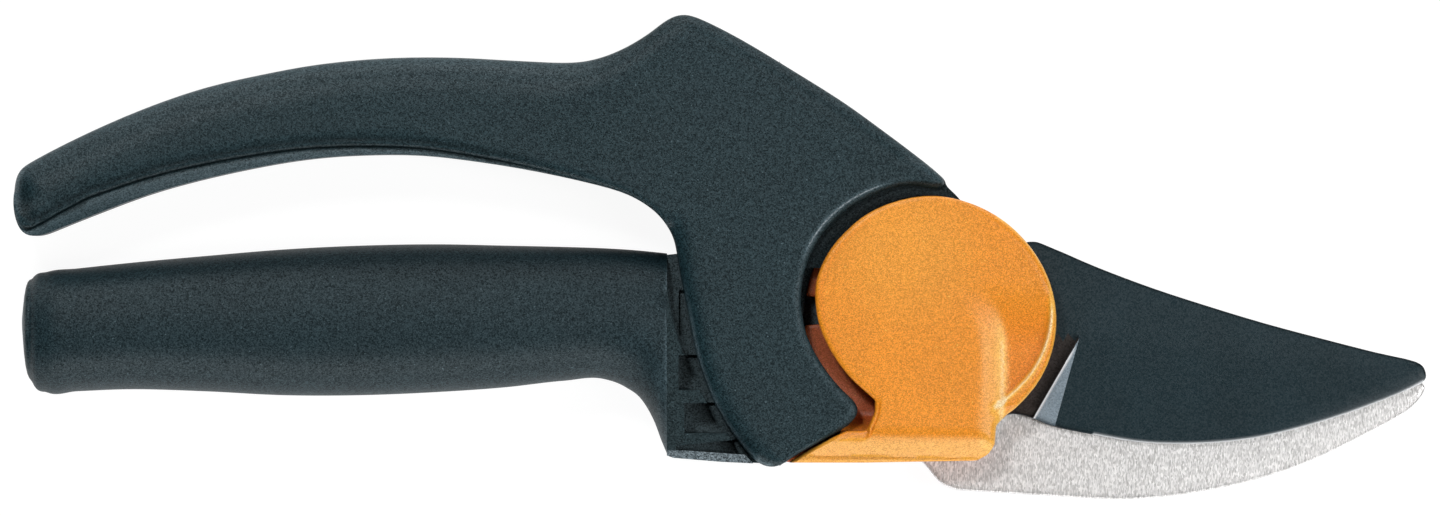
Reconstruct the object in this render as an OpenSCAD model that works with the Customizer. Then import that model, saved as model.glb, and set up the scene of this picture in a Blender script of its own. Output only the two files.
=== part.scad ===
// Gear-assisted bypass pruner, lying on its back on a flat surface.
// Millimetres. +X runs to the blade tip, +Y to the upper handle, +Z away from the surface.
// The origin is on the cutting blade's pivot axis, at the resting plane.

/* [Handles] */
// How far the upper handle swings open, degrees
handle_swing = 34; // [20:1:35]
// Thickness of the lower grip at its fattest
grip_thick = 22.5; // [21:0.5:23]
// Thickness of the upper handle's arm
arm_thick = 17; // [14:0.5:18]
// How far the tang of the frame reaches into the grip
tang_reach = 86; // [60:1:92]

/* [Gears] */
// Teeth on the full circle of the blade's gear
blade_teeth = 11; // [11:1:12]
// Teeth on the full circle of the handle's gear
handle_teeth = 9; // [9:1:10]
// Pressure angle of both gears, degrees
pressure_angle = 25; // [20:1:27]
// Play between the teeth, along the pitch circle
backlash = 0.2; // [0.1:0.05:0.3]

/* [Hub] */
// Nominal radius of the round hub
hub_r = 18.4; // [18:0.1:18.6]
// Radius of the blade's pivot bolt
bolt_r = 3; // [2.5:0.1:3.2]
// Radius of the upper handle's pivot pin
pin_r = 2; // [1.5:0.1:2.2]
// Radial clearance of the turning fits
run_gap = 0.05; // [0.02:0.01:0.08]

/* [Lock] */
// Travel of the lock slider from released to engaged
lock_travel = 7.5; // [6:0.5:7.5]

/* [Hidden] */
$fn = 48;

// The upper handle's pivot, seen from the blade's pivot at [0, 0].
pivot = [6, 11];
pivot_gap = norm(pivot);
pivot_dir = atan2(pivot[1], pivot[0]);
module_mm = 2 * pivot_gap / (blade_teeth + handle_teeth);
blade_swing = handle_swing * handle_teeth / blade_teeth;

// Levels above the resting plane: rear cover, rear web, hub floor, hook, blade, gears, front web,
// front cover.
cover_t = 2.2;
rear_web = [2.5, 4.8];
floor_z = [5, 8];
hook_z = [8.05, 11.05];
blade_z = [11.1, 13.9];
gear_low = blade_z[1] + 0.15;
gear_top = 16.2;
front_web = [16.5, 18.7];
cover_z = [19, 21.6];
head_z = [0.3, 19.8];
fork_z = [7.9, 14];
core_z = [8.2, 13.7];
block_z = [2, 20.5];
foot_z = [11.2, 13.8];
arm_mid = 10.5;
grip_mid = grip_thick / 2;
head_x = -52;
slider_x = [-9.2, 7];
thumb_x = [-1, 3.2];

black = [0.16, 0.2, 0.21];
orange_colour = [0.93, 0.55, 0.16];
steel = [0.72, 0.72, 0.7];
coated = [0.12, 0.15, 0.17];

// Upper handle, round its left end, over the hump and the head, and back along the fingers' side.
handle_points = [
  [-140.9, 18.4], [-140.3, 21.8], [-138, 23.7], [-130, 27.8], [-121, 31.7], [-112, 34.8],
  [-103, 36.9], [-94, 38.5], [-84, 39.4], [-74, 39.5], [-64, 39], [-56, 38.7],
  [-51.5, 39.4], [-47.5, 41], [-44, 43.1], [-41.5, 45], [-39.2, 46], [-36.4, 45.5],
  [-30, 42.3], [-22, 37.5], [-14.5, 32.8], [-8.5, 28.5], [-3.3, 24.6], [-0.2, 22.1],
  [1.4, 20.4], [0.1, 19.4], [-2.6, 19.8], [-5.8, 19.9], [-10.5, 18.3], [-14.5, 15.8],
  [-17.8, 12.2], [-19.9, 8], [-20.7, 4], [-20.7, 1.2], [-20, -2.5], [-18.6, -5.6],
  [-16.9, -8.3], [-14.7, -11], [-12.6, -13], [-12.1, -14.7], [-13.4, -16.5], [-16.2, -18.2],
  [-21.1, -20.9], [-23.7, -22.6], [-25.3, -23], [-27, -22.5], [-28.8, -20.9], [-31.4, -17.6],
  [-33.6, -13.9], [-35.5, -9.6], [-36.9, -5], [-37.8, -0.5], [-38.7, 4], [-39.6, 9],
  [-40.1, 11.6], [-41.3, 14], [-43.4, 16.3], [-47, 18.5], [-52, 20.1], [-61, 22.1],
  [-70, 23.6], [-79, 24.6], [-88, 24.6], [-96, 24], [-104, 22.7], [-113, 20.7],
  [-121, 18.4], [-130, 15], [-134, 13.4], [-137, 12.3], [-139.3, 12.6], [-140.6, 15]
];

// Cutting blade: tip, cutting edge, choil, round root, and spine.
root_r = 12.2;
blade_points = [
  [73.4, -7], [74.8, -8.6], [74.5, -10], [72, -11.3], [65.6, -13.9], [57, -16.7],
  [48.4, -18.7], [40, -19.5], [31.3, -19.3], [24, -18.1], [17.7, -16.8], [14.8, -15.6],
  [12, -14.9], [10.2, -15.4], [8.9, -16.6], [5.5, -17.2], [1.4, -15],
  for (a = [-95:-24:-311]) root_r * [cos(a), sin(a)],
  [14, 11.4], [17.5, 10.5], [24.5, 7.5], [33, 4.3], [41.6, 1.5],
  [50.2, -1.1], [58.8, -3.4], [67, -5.5]
];

// Hook: tip, concave inner edge behind the blade, root under the hub, and the curved lower edge.
hook_points = [
  [74.6, -10.3], [68, -9.9], [58, -11.4], [46, -13.4], [32, -14.4], [20, -13], [12, -9.5],
  [7, -4], [0, -2], [-6.5, -4], [-8.5, -12], [-7.5, -18.5], [-2.2, -22.3], [0.4, -25.3],
  [2.8, -26.5], [5.5, -26.75], [16, -27.4], [27, -28], [34, -27.7], [40, -26.9],
  [46.5, -25.6], [53, -23.7], [59.5, -21.1], [66, -17.8], [70, -15.7], [73.4, -13.3]
];

// The notch in the hub's floor for the handle's nose, and the covers' column below the disc.
notch_points = [
  [-18.4, -0.5], [-18, -2.5], [-16.9, -4.7], [-14.9, -8.2], [-12.5, -10.6], [-10.4, -11.9],
  [-9.5, -13.2], [-9.5, -14.6], [-10.2, -16.2], [-10.9, -17.8], [-22, -17.8], [-22, -0.5]
];
column_points = [
  [-5, -5], [-9.5, -13.2], [-9.5, -14.6], [-10.2, -16.2], [-10.9, -17.8], [-10.9, -22.3],
  [6.1, -22], [7.8, -21], [8.8, -19.5], [9, -16.6], [10.7, -14.9], [11.5, -8]
];

// The covers' round edge, each [angle, radius]: flatter beside the blade's spine, fuller at the upper left.
hub_edge = [
  [-56, 18.3], [-36, 18.35], [-18, 18.3], [0, 18.15], [18, 17.9], [36, 17.7], [54, 17.75],
  [72, 17.95], [90, 18.35], [108, 18.6], [126, 18.95], [144, 19.15], [156, 19.25], [165, 19.15],
  [174, 18.65], [183, 18.1], [192, 17.45], [201, 16.85], [210, 16.4], [219, 16.05], [228, 15.8]
];

// Band along the cover's bottom edge, beside the nose.
band_points = [
  [-22.6, -22.3], [-20.9, -21.2], [-16, -18.5], [-13.9, -17.5], [-10.5, -17.4], [-10.5, -22.3]
];

// Web that reaches from the handle's head to its pivot, at both levels under the covers.
web_points = [
  [-20.6, 7.4], [-18.5, 13.5], [-14, 17.8], [-4, 22], [0.9, 20.4], [3, 18.4], [4.2, 17], [9.5, 14],
  [8, 7.6], [3.6, 7.2]
];

// Lower grip: stations along X, each [x, top, bottom, half thickness].
grip_stations = [
  [-139.8, 0.4, -2.4, 2.5], [-139.4, 3.6, -6.6, 6.6], [-138.2, 5.9, -10.3, 8.8],
  [-136, 6.8, -11.7, 10.3], [-131.5, 7.3, -11.5, 11.1], [-124, 8.1, -11.2, grip_mid],
  [-112, 9.2, -11.5, grip_mid], [-100, 10.2, -12.1, grip_mid], [-88, 10.8, -12.1, grip_mid],
  [-76, 11, -11.6, grip_mid], [-66, 10.8, -10.9, 10.9], [-57, 10.6, -9.9, 10.2],
  [-51, 10.4, -9.6, 9.7], [-47.5, 10.2, -10.9, 9.5], [-45, 10, -12.9, 9.4],
  [-43, 9.8, -16.5, 9.4], [-42, 9.7, -19.2, 9.4], [-41.2, 9.6, -21.1, 9.4]
];

screw_spots = [[-38, 38], [-14, 28], [-31, 17.5]];
cover_screw_spots = [[-5.5, -19.9], [5, -19.9]];
cover_screw_top = 15.6;
hook_rivet_spots = [[-3.8, -13.6], [4.6, -14.2]];
rivet_ring_r = 9.4;
blade_rivet_spots = [for (a = [200, 240]) rivet_ring_r * [cos(a), sin(a)]];
gear_pin_spots = [for (a = [133, 160]) pivot + 8.3 * [cos(a), sin(a)]];

// ---- curves and shapes ----

// A Catmull-Rom curve through a closed ring of points.
function blend4(a, b, c, d, t) =
  0.5 * (2 * b + (c - a) * t + (2 * a - 5 * b + 4 * c - d) * t * t
  + (3 * b - a - 3 * c + d) * t * t * t);
function smooth(p, n = 3) =
  let (m = len(p))
  [for (i = [0:m - 1], k = [0:n - 1])
    blend4(p[(i + m - 1) % m], p[i], p[(i + 1) % m], p[(i + 2) % m], k / n)];

// Points along an arc in tenths of its sweep.
function arc(c, r, a0, a1, tenths) =
  [for (k = tenths) let (a = a0 + (a1 - a0) * k / 10) c + r * [cos(a), sin(a)]];

module slab(z) translate([0, 0, z[0]]) linear_extrude(z[1] - z[0]) children();
module rod(p, r, z) translate([p[0], p[1], z[0]]) cylinder(r = r, h = z[1] - z[0]);
module ring(r0, r1, z) slab(z) difference() { circle(r1); circle(r0); }
module wedge(r, a0, a1)
  polygon(concat([[0, 0]], [for (i = [0:6]) let (a = a0 + (a1 - a0) * i / 6) r * [cos(a), sin(a)]]));
module box(lo, hi) translate(lo) cube(hi - lo);

// Closed tube through rings of points, each ring with the same number of points.
module loft(rings) {
  n = len(rings[0]);
  m = len(rings);
  polyhedron(
    points = [for (r = rings, p = r) p],
    faces = concat(
      [[for (k = [0:n - 1]) k]],
      [for (i = [0:m - 2], k = [0:n - 1])
        [i * n + k, (i + 1) * n + k, (i + 1) * n + (k + 1) % n, i * n + (k + 1) % n]],
      [[for (k = [n - 1:-1:0]) (m - 1) * n + k]]
    )
  );
}

// Round wire along a path that never runs straight up.
module wire(path, r, sides = 8) {
  m = len(path);
  loft([for (i = [0:m - 1])
    let (
      t = path[min(i + 1, m - 1)] - path[max(i - 1, 0)],
      side = cross(t, [0, 0, 1]) / norm(cross(t, [0, 0, 1])),
      up = cross(side, t) / norm(t)
    )
    [for (k = [0:sides - 1]) path[i] + r * (cos(k * 360 / sides) * side - sin(k * 360 / sides) * up)]]);
}

// Involute spur gear with stub teeth; one tooth is centred on +X.
function inv(a) = tan(a) * 180 / PI - a;
function flank(r, pitch_r, base_r, teeth) =
  90 / teeth - backlash / 4 / pitch_r * 180 / PI + inv(pressure_angle)
  - (r > base_r ? inv(acos(base_r / r)) : 0)
  - (r > base_r ? 0 : 4 * (base_r - r));
module gear(teeth) {
  pitch_r = module_mm * teeth / 2;
  base_r = pitch_r * cos(pressure_angle);
  tip_r = pitch_r + 0.8 * module_mm;
  root_r = pitch_r - 1.05 * module_mm;
  radii = [root_r, (root_r + base_r) / 2, base_r, for (k = [1:4]) base_r + (tip_r - base_r) * k / 4];
  polygon([for (t = [0:teeth - 1], s = [-1, 1], k = [0:6])
    let (r = radii[s < 0 ? k : 6 - k], a = t * 360 / teeth + s * flank(r, pitch_r, base_r, teeth))
    r * [cos(a), sin(a)]]);
}

// ---- outlines ----

module handle_outline() polygon(smooth(handle_points));
module head_outline() difference() {
  handle_outline();
  translate([-200, -50]) square([200 + head_x, 150]);
}
module arm_outline() intersection() {
  handle_outline();
  translate([-200, -50]) square([200 + head_x, 150]);
}
module hub_outline() {
  difference() {
    circle(hub_r - 1, $fn = 96);
    polygon(notch_points);
  }
  polygon(column_points);
}
module cover_outline() {
  polygon(smooth(concat(
    [for (e = hub_edge) e[1] * [cos(e[0]), sin(e[0])]],
    [[-8.5, -13.5], [-5, -15], [0, -14], [8, -13]]
  )));
  polygon(column_points);
}
module web_outline() {
  polygon(web_points);
  translate(pivot) circle(4.6);
}
// Everything below the fork's ceiling, where the frame lies between the head's two walls.
module fork_room() polygon([[-60, 8], [-41.3, 10.1], [-19, 12.5], [-10, 12.5], [-10, -30], [-60, -30]]);
// Arc slot in the blade that clears the handle's pin as the blade turns.
slot_r = pin_r + 0.9;
slot_end = pivot_gap * [cos(pivot_dir - blade_swing), sin(pivot_dir - blade_swing)];
slot_points = concat(
  arc([0, 0], pivot_gap + slot_r, pivot_dir - blade_swing, pivot_dir, [0:10]),
  arc(pivot, slot_r, pivot_dir, pivot_dir + 180, [1:9]),
  arc([0, 0], pivot_gap - slot_r, pivot_dir, pivot_dir - blade_swing, [0:10]),
  arc(slot_end, slot_r, pivot_dir - blade_swing + 180, pivot_dir - blade_swing + 360, [1:9])
);
module blade_outline() difference() {
  polygon(smooth(blade_points));
  polygon(slot_points);
  circle(bolt_r + 0.9);
  for (p = blade_rivet_spots) translate(p) circle(1.1);
}
module block_outline() difference() {
  polygon([
    [-41.2, 9.4], [-41.2, -21.2], [-40.2, -21.55], [-33, -22.15], [-26, -22.5], [-22, -22.3], [-22, 9]
  ]);
  translate(pivot) circle(47.7, $fn = 180);
}

// ---- frame and covers ----

module core_frame() color(black) difference() {
  union() {
    slab(floor_z) hub_outline();
    slab(core_z) difference() {
      polygon([[-41.2, 9.4], [-19.5, 11.5], [-17.8, 8.8], [-20, 4], [-20.4, 0], [-19.6, -5],
        [-18, -9], [-16.4, -13.2], [-15.6, -17.4], [-23, -17.4], [-23, -22.35], [-26, -22.5], [-33, -22.15],
        [-40.2, -21.55], [-41.2, -21.2]]);
      circle(20.3, $fn = 96);
    }
    // Flange behind the gap round the disc's upper left.
    for (f = [[20.4, 104, 166], [21, 117, 158]]) slab(floor_z) intersection() {
      circle(f[0], $fn = 96);
      wedge(40, f[1], f[2]);
    }
    // Shelf round the hub's left side, between the head's two walls.
    for (s = [[20.4, core_z[0]], [15.8, floor_z[1] - 0.5]]) slab([s[1], hook_z[1]]) intersection() {
      difference() {
        circle(s[0], $fn = 96);
        circle(13.5);
      }
      wedge(40, 160, 228);
    }
    slab([core_z[0], hook_z[1]])
      polygon([[-23, -22.3], [-9.6, -22.3], [-9.6, -17.4], [-12, -15], [-15.5, -15], [-23, -17.4]]);
    slab(block_z) block_outline();
    box([-41.2 - tang_reach, -4.5, 6.2], [-41, 5, 16.3]);
    rod([16, 2.4], 1.1, [floor_z[1] - 0.5, 10.9]);
  }
  rod([0, 0], bolt_r, [4, 9]);
  rod(pivot, pin_r, [4, 9]);
  for (p = cover_screw_spots) rod(p, 1.4, [4, 9]);
  for (p = hook_rivet_spots) rod(p, 1.5, [4, 9]);
  // Pockets between the ribs, from both faces, leaving a middle web.
  for (z = [[12.5, 21], [1, 9]]) {
    box([-39.4, -11.2, z[0]], [-30, -5.9, z[1]]);
    box([-39.4, -2.9, z[0]], [-30, 4, z[1]]);
    box([-38.5, -17.8, z[0]], [-26, -13.2, z[1]]);
    slab(z) polygon([[-39.8, -19.7], [-39.8, -20.3], [-25, -21.4], [-25, -18.2]]);
  }
  box([-36, 8.4, 9], [-30, 12, 13]);
  box([-1.8, -15, 4], [2.6, -13, 6.4]);
}

module lower_grip() color(black) difference() {
  loft([for (s = grip_stations)
    [for (k = [0:27])
      let (a = k * 360 / 28, c = cos(a), v = sin(a), e = 2 / 2.3)
      [s[0], (s[1] + s[2]) / 2 + (s[1] - s[2]) / 2 * sign(c) * pow(abs(c), e),
        grip_mid + s[3] * sign(v) * pow(abs(v), e)]]]);
  box([-41.2 - tang_reach, -4.5, 6.2], [-40, 5, 16.3]);
}

module front_cover() color(orange_colour) difference() {
  union() {
    slab(cover_z) cover_outline();
    // Skirt down to the blade round the disc's right side.
    slab([blade_z[1] + 0.25, cover_z[0] + 0.5]) intersection() {
      difference() {
        cover_outline();
        circle(hub_r - 1.6, $fn = 96);
      }
      wedge(60, -60, 34);
    }
    slab([blade_z[1] + 0.25, cover_z[0] + 0.5]) intersection() {
      cover_outline();
      translate([-12, -23]) square([25, 10.4]);
    }
    // Foot on the hook's root, outside the blade's reach, and the flange round the lower left.
    slab([foot_z[0], blade_z[1] + 0.5])
      polygon([[-10.9, -22.3], [-10.9, -19.4], [8.8, -19.4], [7.8, -21], [6.1, -22]]);
    slab(foot_z)
      polygon([[-23, -22.3], [-9, -22.3], [-9, -15.2], [-15.7, -15.2], [-15.3, -17.4], [-23, -17.4]]);
    // Raised band below the handle's nose, level with the column.
    slab([foot_z[0], cover_z[1] - 1.2]) polygon(band_points);
    slab(foot_z) intersection() {
      difference() {
        circle(20.2, $fn = 96);
        circle(15);
      }
      union() {
        wedge(40, 156, 171);
        wedge(40, 184, 240);
      }
    }
    slab(foot_z) intersection() {
      difference() {
        circle(16.5);
        circle(15);
      }
      wedge(40, 160, 190);
    }
  }
  rod(pivot, pin_r, [18, 20.2]);
  for (p = cover_screw_spots) rod(p, 1.4, [10, cover_screw_top]);
}

module rear_cover() color(orange_colour) difference() {
  union() {
    slab([0, cover_t]) cover_outline();
    slab([0, floor_z[0]]) intersection() {
      cover_outline();
      translate([-12, -23]) square([25, 12.6]);
    }
  }
  rod([0, 0], bolt_r, [-1, 6]);
  rod([0, 0], 6.5, [-1, 1.6]);
  rod(pivot, pin_r, [1, 6]);
  for (p = cover_screw_spots) {
    rod(p, 1.4, [-1, 6]);
    rod(p, 2.4, [-1, 1.8]);
  }
  // Channel of the lock slider and the window of its thumb piece.
  box([-12, -15.5, 2.3], [7.2, -12.5, 6]);
  box([thumb_x[0] - lock_travel - 0.4, -15.3, -1], [thumb_x[1] + 1.1, -12.7, 3]);
}

module hook_blade() color(steel) slab(hook_z) difference() {
  union() {
    polygon(smooth(hook_points));
    circle(7.6);
  }
  circle(bolt_r);
  for (p = hook_rivet_spots) translate(p) circle(1.5);
  for (p = cover_screw_spots) translate(p) circle(1.4);
}

module hook_rivets() color(steel) for (p = hook_rivet_spots) rod(p, 1.5, [floor_z[0], hook_z[1]]);

module cover_screws() color(steel) for (p = cover_screw_spots) difference() {
  union() {
    rod(p, 1.4, [1, cover_screw_top]);
    rod(p, 2.4, [0.4, 1.8]);
  }
  rod(p, 0.9, [0, 1.1]);
}

module pivot_bolt() color(steel) union() {
  rod([0, 0], 6.5, [0, 1.6]);
  rod([0, 0], bolt_r, [1, 18.8]);
}

module pivot_washer() color(steel) ring(bolt_r, 5.6, [16.25, 16.7]);

module pivot_nut() color(steel) slab([16.75, 18.6]) difference() {
  circle(5.2, $fn = 6);
  circle(bolt_r);
}

module handle_pin() color(steel) rod(pivot, pin_r, [1, 20.2]);

module stop_buffer() color([0.25, 0.25, 0.25]) box([-36, 8.4, 9], [-30, 10.1, 13]);

module lock_detent() color(steel) translate([0.4, -13.1, 4.9]) rotate([90, 0, 0]) linear_extrude(1.8)
  polygon([[-2, 1.2], [-0.8, 0.2], [0, 0], [0.8, 0.2], [2, 1.2], [2, 1.4], [0, 0.22], [-2, 1.4]]);

// ---- upper handle ----

module upper_handle() color(black) difference() {
  union() {
    slab([arm_mid - arm_thick / 2, arm_mid + arm_thick / 2]) arm_outline();
    slab([fork_z[1], head_z[1]]) head_outline();
    slab([fork_z[0], fork_z[1] + 0.5]) difference() {
      head_outline();
      fork_room();
    }
    slab(front_web) web_outline();
  }
  rod(pivot, 3, [16, 19]);
  for (p = gear_pin_spots) rod(p, 1, [16, 19]);
  for (p = screw_spots) rod(p, 1.4, [7, 16]);
}

module head_rear_shell() color(black) difference() {
  union() {
    slab([head_z[0], fork_z[0]]) head_outline();
    slab(rear_web) web_outline();
  }
  rod(pivot, 3, [2, 5]);
  for (p = screw_spots) {
    rod(p, 1.4, [0, 9]);
    rod(p, 2.6, [0, 2.2]);
  }
  // Notch for the lock slider, in the nose.
  box([slider_x[0] - lock_travel - 0.9, -15.8, 2.2], [-11, -12.2, 5]);
}

module head_screws() color(steel) for (p = screw_spots) difference() {
  union() {
    rod(p, 1.4, [1, 16]);
    rod(p, 2.6, [0.8, 2.2]);
  }
  rod(p, 1, [0, 1.6]);
}

module handle_gear() color(steel) slab([gear_low, gear_top]) difference() {
  union() {
    // Only the teeth that can meet the blade's gear; the rest of the wheel is a plain hub.
    intersection() {
      translate(pivot) rotate(pivot_dir + 180 + 180 / handle_teeth) gear(handle_teeth);
      translate(pivot) wedge(12, pivot_dir + 100, pivot_dir + 300);
    }
    translate(pivot) circle(4.6);
    // Tab that carries the pins.
    intersection() {
      translate(pivot) difference() {
        circle(10);
        circle(4);
      }
      translate(pivot) wedge(30, 122, 171);
    }
  }
  translate(pivot) circle(3);
  for (p = gear_pin_spots) translate(p) circle(1);
}

module gear_pins() color(steel) for (p = gear_pin_spots) rod(p, 1, [gear_low, front_web[1]]);

module handle_bushes() color([0.75, 0.6, 0.35]) translate(pivot) {
  ring(pin_r + run_gap, 3, [gear_low, front_web[1]]);
  ring(pin_r + run_gap, 3, rear_web);
}

// Torsion spring round the handle's pin: one leg on the frame's post, the other out to the head.
coil_r = 3.9;
coil_turns = 1.75;
module return_spring() color(steel) wire(concat(
  [[16.2, 4.1, 8.75]],
  [for (k = [0:28])
    let (a = -30 + k * (coil_turns * 360 - 330 + 300) / 28)
    concat(pivot + coil_r * [cos(a), sin(a)], 8.75 + 1.5 * k / 28)],
  [[-16.9, 9.6, 10.25]]), 0.55);

// ---- cutting blade ----

module cutting_blade() color(coated) slab(blade_z) blade_outline();

module blade_gear() color(steel) slab([blade_z[1], gear_top]) difference() {
  union() {
    rotate(pivot_dir) gear(blade_teeth);
    intersection() {
      difference() {
        circle(11.4);
        circle(5);
      }
      wedge(30, 184, 256);
    }
  }
  circle(bolt_r + 0.9);
  for (p = blade_rivet_spots) translate(p) circle(1.1);
}

module blade_bush() color([0.75, 0.6, 0.35]) ring(bolt_r + run_gap, bolt_r + 0.9, [blade_z[0], gear_top]);

module blade_rivets() color(steel) for (p = blade_rivet_spots) rod(p, 1.1, [blade_z[0], gear_top]);

// ---- lock ----

module lock_slider() color(orange_colour) union() {
  box([slider_x[0], -15.4, 2.4], [slider_x[1], -12.6, 4.8]);
  box([thumb_x[0], -15.2, 1.2], [thumb_x[1], -12.8, 3]);
  for (k = [0:2]) translate([thumb_x[0] + 1.6 * k, 0, 0]) box([0, -15.2, 0.6], [1, -12.8, 3]);
}

core_frame();
lower_grip();
front_cover();
rear_cover();
hook_blade();
hook_rivets();
cover_screws();
pivot_bolt();
pivot_washer();
pivot_nut();
handle_pin();
stop_buffer();
lock_detent();
upper_handle();
head_rear_shell();
head_screws();
handle_gear();
gear_pins();
handle_bushes();
return_spring();
cutting_blade();
blade_gear();
blade_bush();
blade_rivets();
lock_slider();
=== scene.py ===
"""A gear-assisted bypass pruner: the looks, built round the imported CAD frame. Lengths in this file are
millimetres until make_object() turns them into metres; outlines are sections cut through the CAD nodes."""

import math

import bpy
import numpy as np
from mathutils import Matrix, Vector
from mathutils.geometry import delaunay_2d_cdt


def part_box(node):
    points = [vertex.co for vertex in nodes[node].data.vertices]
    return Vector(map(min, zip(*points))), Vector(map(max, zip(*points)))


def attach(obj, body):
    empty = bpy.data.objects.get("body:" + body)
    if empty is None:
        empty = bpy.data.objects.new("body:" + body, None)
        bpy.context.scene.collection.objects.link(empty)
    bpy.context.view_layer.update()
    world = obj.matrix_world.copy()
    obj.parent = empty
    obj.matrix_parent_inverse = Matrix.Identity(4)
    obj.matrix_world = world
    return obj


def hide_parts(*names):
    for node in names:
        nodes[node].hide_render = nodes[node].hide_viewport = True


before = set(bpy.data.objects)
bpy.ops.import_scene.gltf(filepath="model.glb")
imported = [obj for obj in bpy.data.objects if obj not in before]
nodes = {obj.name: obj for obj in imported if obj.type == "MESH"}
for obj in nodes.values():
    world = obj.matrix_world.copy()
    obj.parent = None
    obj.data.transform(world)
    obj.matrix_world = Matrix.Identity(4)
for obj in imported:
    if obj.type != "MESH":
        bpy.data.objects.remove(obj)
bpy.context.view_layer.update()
MM = 0.001


# ---- outlines from the CAD frame ----


def node_box(node):
    """A node's lowest and highest corners, in mm."""
    low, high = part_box(node)
    return np.array(low) / MM, np.array(high) / MM


def section(node, z):
    """Closed loops, in mm, where the plane at height z cuts a CAD node; the largest comes first."""
    mesh = nodes[node].data
    mesh.calc_loop_triangles()
    co = np.empty(len(mesh.vertices) * 3)
    mesh.vertices.foreach_get("co", co)
    co = co.reshape(-1, 3) / MM
    tri = np.empty(len(mesh.loop_triangles) * 3, int)
    mesh.loop_triangles.foreach_get("vertices", tri)
    corners = co[tri.reshape(-1, 3)]
    side = corners[:, :, 2] > z
    corners = corners[side.any(1) & ~side.all(1)]
    links = {}
    for t in corners:
        ends = []
        for a, b in ((0, 1), (1, 2), (2, 0)):
            if (t[a][2] > z) != (t[b][2] > z):
                low, high = sorted((tuple(t[a]), tuple(t[b])))
                f = (z - low[2]) / (high[2] - low[2])
                ends.append(tuple(round(low[k] + f * (high[k] - low[k]), 3) for k in (0, 1)))
        if len(ends) == 2 and ends[0] != ends[1]:
            links.setdefault(ends[0], set()).add(ends[1])
            links.setdefault(ends[1], set()).add(ends[0])
    loops = []
    while links:
        start = next(iter(links))
        loop = [start]
        here = start
        while links.get(here):
            there = links[here].pop()
            links[there].discard(here)
            for end in (here, there):
                if not links.get(end):
                    links.pop(end, None)
            if there == start:
                break
            loop.append(there)
            here = there
        if len(loop) > 2:
            loops.append(np.array(loop))
    return sorted((counter_clockwise(p) for p in loops), key=lambda p: -abs(area(p)))


def area(p):
    """A loop's area, negative when it runs clockwise."""
    q = np.roll(p, -1, 0)
    return 0.5 * np.sum(p[:, 0] * q[:, 1] - q[:, 0] * p[:, 1])


def counter_clockwise(p):
    return p if area(p) > 0 else p[::-1]


def resample(p, step, closed=True):
    """Points at even steps along a line or loop."""
    q = np.vstack([p, p[:1]]) if closed else np.asarray(p, float)
    run = np.concatenate([[0], np.cumsum(np.linalg.norm(np.diff(q, axis=0), axis=1))])
    count = max(8 if closed else 2, int(round(run[-1] / step)))
    at = np.linspace(0, run[-1], count + (not closed), endpoint=not closed)
    return np.stack([np.interp(at, run, q[:, 0]), np.interp(at, run, q[:, 1])], 1)


def soften(p, step, radius):
    """A loop resampled and rounded: a Gaussian of that radius run round it."""
    p = resample(p, step)
    reach = int(3 * radius / step) + 1
    weights = np.exp(-0.5 * (np.arange(-reach, reach + 1) * step / radius) ** 2)
    weights /= weights.sum()
    return sum(w * np.roll(p, k, 0) for k, w in zip(range(-reach, reach + 1), weights))


def outline(node, z, step=0.5, radius=0.5, least=0.3):
    """A node's section at height z, rounded, without loops smaller than least square millimetres."""
    return [soften(p, min(step, math.sqrt(abs(area(p))) / 6), min(radius, math.sqrt(abs(area(p))) / 9))
            for p in section(node, z) if abs(area(p)) > least]


def right_part(loop, x, step):
    """The part of a loop to the right of x, with a straight end."""
    return resample(np.maximum(loop, [x, -np.inf]), step)


def distance(points, lines, closed=True):
    """Distance from each point to the nearest of the lines, or of the loops when closed."""
    best = np.full(len(points), 1e9)
    for p in lines:
        a = p if closed else p[:-1]
        ab = (np.roll(p, -1, 0) if closed else p[1:]) - a
        length2 = np.maximum((ab**2).sum(1), 1e-12)
        for i in range(0, len(points), 1500):
            ap = points[i:i + 1500, None] - a[None]
            t = np.clip((ap * ab).sum(2) / length2, 0, 1)
            gap = np.sqrt(((ap - t[..., None] * ab) ** 2).sum(2)).min(1)
            best[i:i + 1500] = np.minimum(best[i:i + 1500], gap)
    return best


def gap_to(x, y, line):
    """Distance from each point to one open line."""
    return distance(np.column_stack([x, y]), [line], closed=False)


def inside(points, loops):
    """Whether each point is inside the outer loops and outside the holes."""
    hit = np.zeros(len(points), bool)
    x, y = points[:, 0], points[:, 1]
    for p in loops:
        q = np.roll(p, -1, 0)
        for (x0, y0), (x1, y1) in zip(p, q):
            if y0 != y1:
                cross = ((y0 > y) != (y1 > y)) & (x < (x1 - x0) * (y - y0) / (y1 - y0) + x0)
                hit ^= cross
    return hit


def normals(p):
    """Unit normals of a counter-clockwise loop, pointing inward."""
    t = np.roll(p, -1, 0) - np.roll(p, 1, 0)
    n = np.stack([-t[:, 1], t[:, 0]], 1)
    return n / np.maximum(np.linalg.norm(n, axis=1, keepdims=True), 1e-9)


# ---- meshes ----


def make_object(name, points, faces, tint=None, angle=38):
    """A mesh object from points in mm, smooth but for edges sharper than angle. Its attribute "tint" says
    how much each point is painted paler (above 0) or darker (below 0) than the plain material: painted
    light and shade, and on the blade also its bare cutting edge."""
    mesh = bpy.data.meshes.new(name)
    mesh.from_pydata([tuple(v) for v in np.asarray(points) * MM], [], [tuple(f) for f in faces])
    if tint is not None:
        mesh.attributes.new("tint", "FLOAT", "POINT").data.foreach_set("value", tint)
    mesh.validate()
    mesh.update()
    mesh.shade_smooth()
    mesh.set_sharp_from_angle(angle=math.radians(angle))
    obj = bpy.data.objects.new(name, mesh)
    bpy.context.scene.collection.objects.link(obj)
    return obj


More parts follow.
